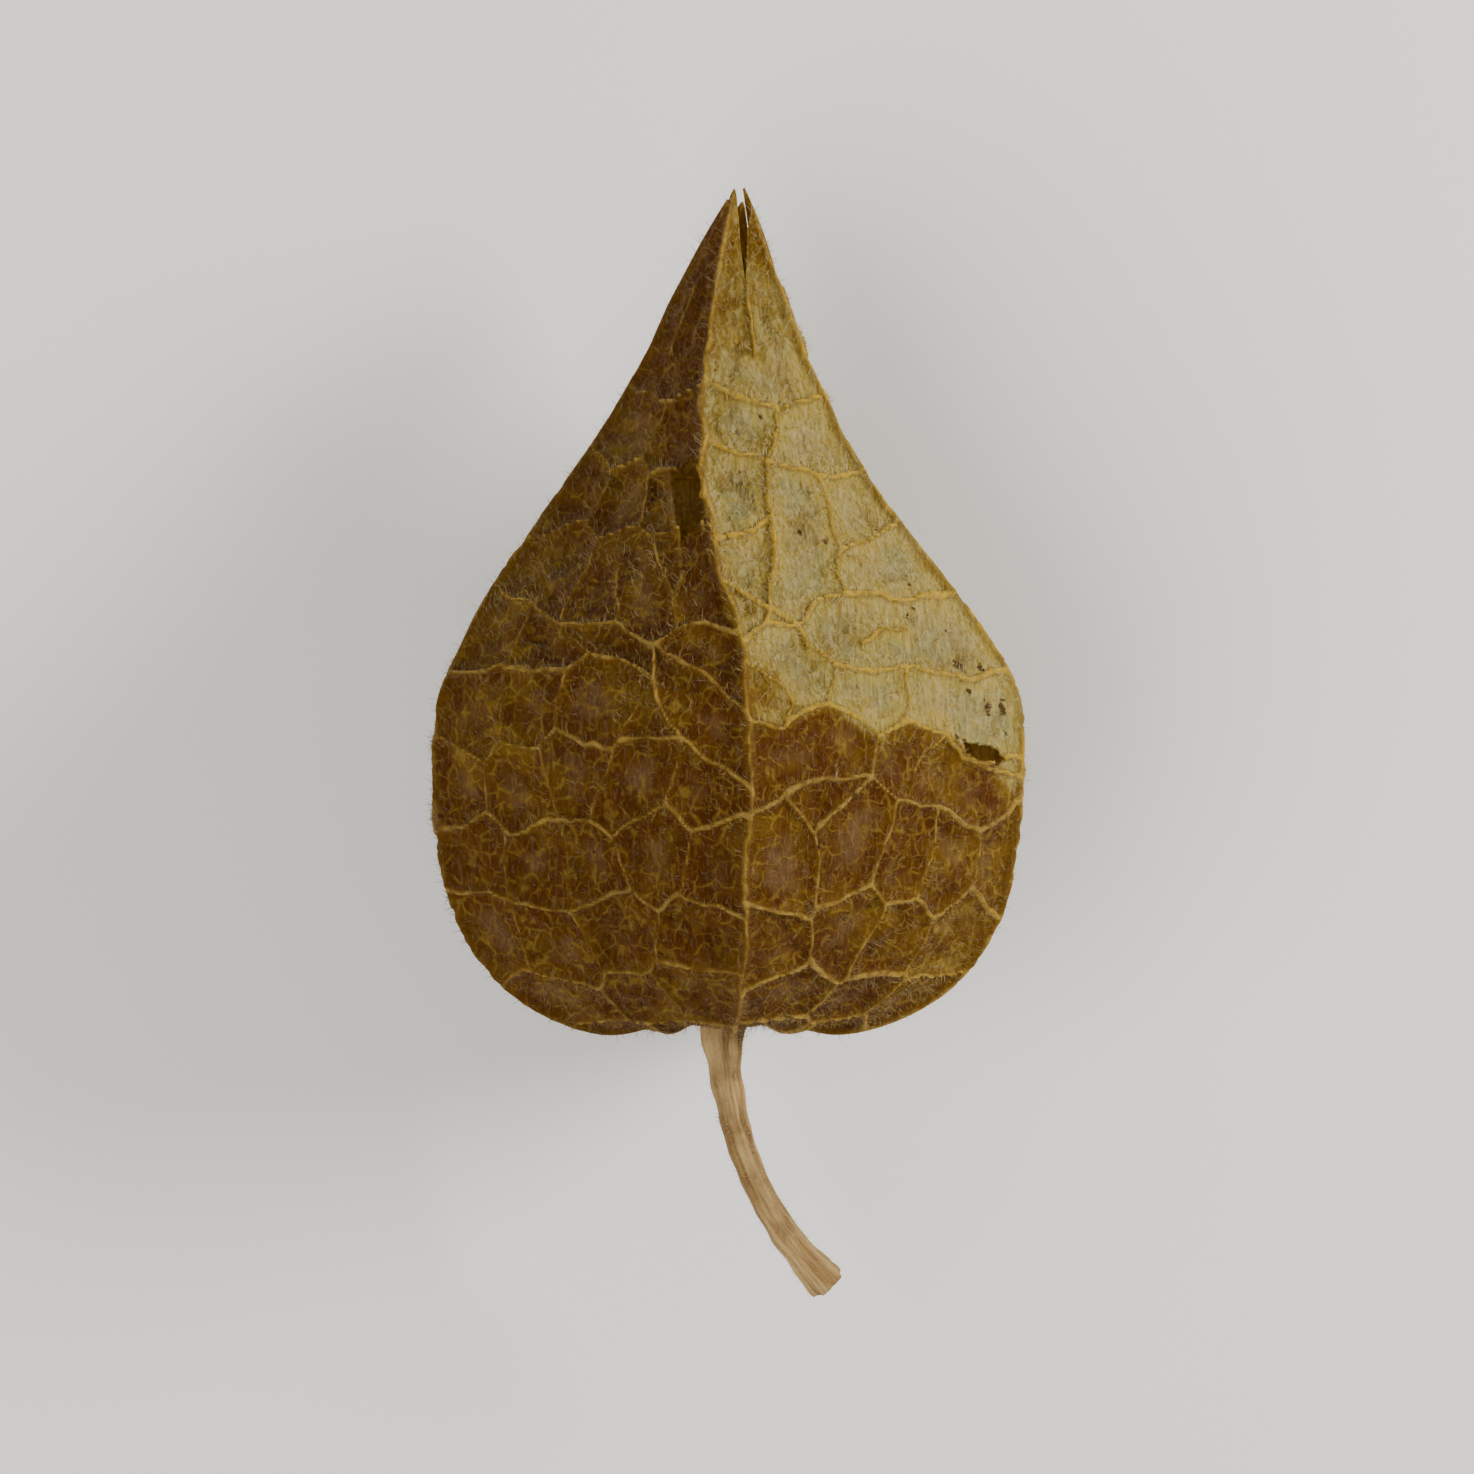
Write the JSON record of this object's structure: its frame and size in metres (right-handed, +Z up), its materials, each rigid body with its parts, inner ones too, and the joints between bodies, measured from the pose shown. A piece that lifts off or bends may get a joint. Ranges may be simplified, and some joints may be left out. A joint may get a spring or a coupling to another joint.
{
  "type": "physalis berry in its husk",
  "caption": "Physalis berry in its papery straw-coloured husk: a ribbed lantern with a raised net of veins and a pointed tip, the orange berry inside, on a short dry stalk, lying on its side.",
  "frame": {"origin": "middle of the flat spot under the husk's belly, where the fruit rests", "axes": "+Y along the husk from the stalk to the tip, +Z up, +X to the right as seen from above with the tip pointing away"},
  "size_m": [0.0312, 0.0585, 0.0303],
  "materials": {
    "husk": "dry papery membrane, matte, with raised ochre veins and fine hairs",
    "berry": "smooth waxy golden-orange skin",
    "stalk": "dry ridged stem, matte tan"
  },
  "bodies": {
    "root": {"husk": "husk", "berry": "berry", "stalk": "stalk"}
  },
  "joints": []
}
